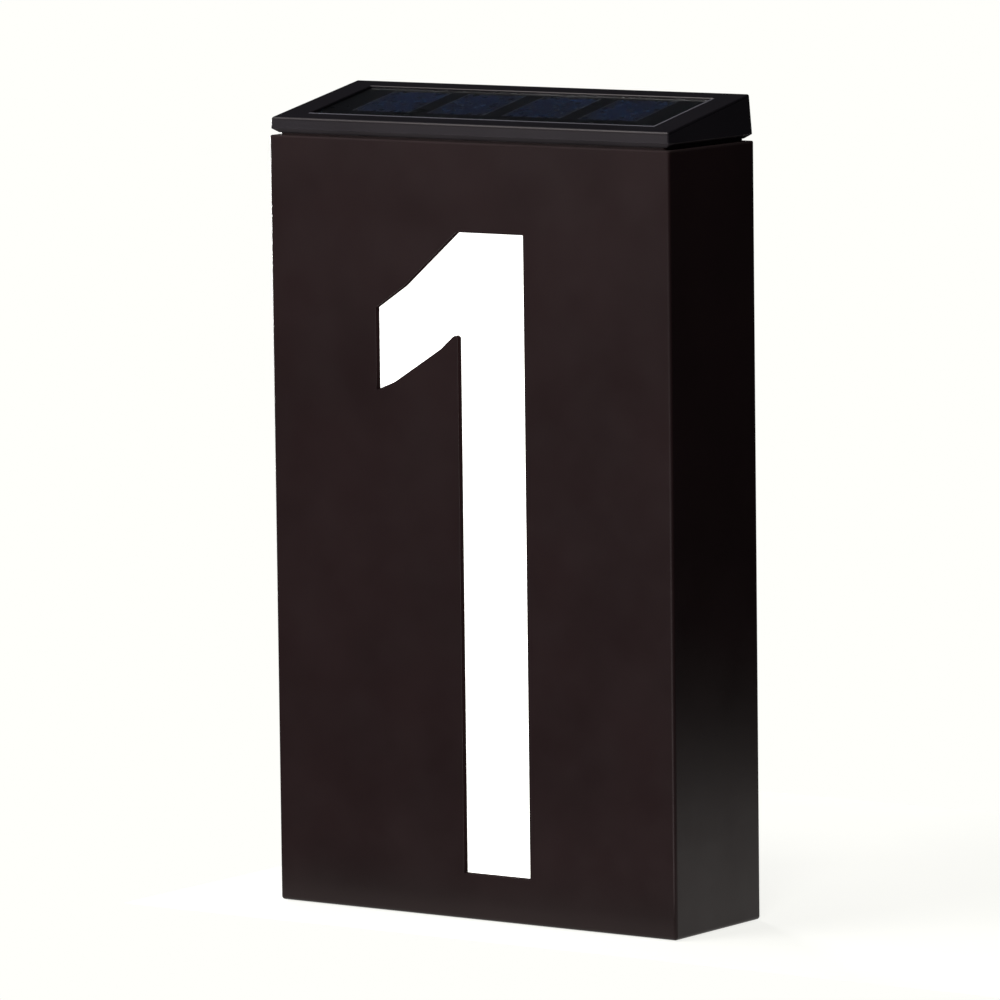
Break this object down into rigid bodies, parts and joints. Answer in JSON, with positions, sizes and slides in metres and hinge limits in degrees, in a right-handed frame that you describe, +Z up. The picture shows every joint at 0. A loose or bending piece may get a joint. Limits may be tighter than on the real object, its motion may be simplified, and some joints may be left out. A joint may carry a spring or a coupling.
{
  "type": "illuminated house number sign",
  "caption": "Solar house number sign: slim dark box with a backlit numeral cut through its front, and a plug-in sloping head that holds the solar panel, battery and control board.",
  "frame": {"origin": "middle of the box's footprint, on the surface that it stands on, which is also the bottom centre of the bounding box", "axes": "+Z up, -Y out of the face with the numeral, +X to the viewer's right as the numeral is read"},
  "size_m": [0.112, 0.035, 0.1906],
  "materials": {
    "dark_body": "satin dark bronze, fine moulded texture",
    "opal_diffuser": "opal acrylic, lit from behind",
    "clear_acrylic": "polished clear acrylic",
    "reflector_white": "matt white film",
    "inner_white": "matt white moulding",
    "inner_grey": "matt dark grey moulding",
    "seal_rubber": "soft black rubber",
    "screw_steel": "plated steel",
    "contact_nickel": "nickel plate",
    "foam_tape": "black foam tape",
    "panel_black": "black laminate",
    "cell_blue": "dark blue silicon under a coating",
    "busbar_silver": "tinned strip",
    "cover_glass": "clear tempered cover",
    "cell_wrap": "plain green sleeve",
    "board_green": "solder mask",
    "board_white": "white solder mask",
    "chip_black": "epoxy",
    "ferrite": "sintered ferrite",
    "component_tan": "ceramic",
    "led_phosphor": "white package with phosphor",
    "switch_black": "matt black",
    "lead_red": "insulation",
    "lead_black": "insulation"
  },
  "bodies": {
    "box": {"housing": "dark_body", "diffuser": "opal_diffuser", "light_guide": "clear_acrylic", "reflector_sheet": "reflector_white", "light_tray": "inner_white", "light_tray_screws": "screw_steel", "back_cover": "dark_body", "back_cover_gasket": "seal_rubber", "back_cover_screws": "screw_steel"},
    "solar_head": {"base_gasket": "seal_rubber", "battery": "cell_wrap", "battery_contact": "contact_nickel", "battery_lead_black": "lead_black", "battery_lead_red": "lead_red", "battery_spring": "contact_nickel", "battery_spring_plate": "contact_nickel", "board_components": "component_tan", "boost_inductor": "ferrite", "cell_busbars": "busbar_silver", "control_board": "board_green", "control_board_screws": "screw_steel", "driver_chip": "chip_black", "head_base": "inner_grey", "head_cover": "dark_body", "head_screws": "screw_steel", "led_board": "board_white", "led_board_screws": "screw_steel", "led_lead_black": "lead_black", "led_lead_red": "lead_red", "leds": "led_phosphor", "neck_seal": "seal_rubber", "panel_backsheet": "panel_black", "panel_encapsulant": "panel_black", "panel_glass": "cover_glass", "panel_lead_black": "lead_black", "panel_lead_red": "lead_red", "panel_tape": "foam_tape", "solar_cell_1": "cell_blue", "solar_cell_2": "cell_blue", "solar_cell_3": "cell_blue", "solar_cell_4": "cell_blue", "switch_body": "switch_black", "switch_frame": "contact_nickel", "switch_screws": "screw_steel"},
    "door": {"battery_door": "inner_grey"},
    "slider": {"switch_slider": "switch_black"}
  },
  "joints": [
    {"name": "head_lift", "type": "slide", "parent": "box", "child": "solar_head", "axis": [0, 0, 1], "range_m": [0, 0.05]},
    {"name": "battery_door_hinge", "type": "hinge", "parent": "solar_head", "child": "door", "pos_m": [0, -0.0066, 0.1578], "axis": [-1, 0, 0], "range_deg": [0, 85]},
    {"name": "switch_slide", "type": "slide", "parent": "solar_head", "child": "slider", "axis": [1, 0, 0], "range_m": [0, 0.0025]}
  ]
}
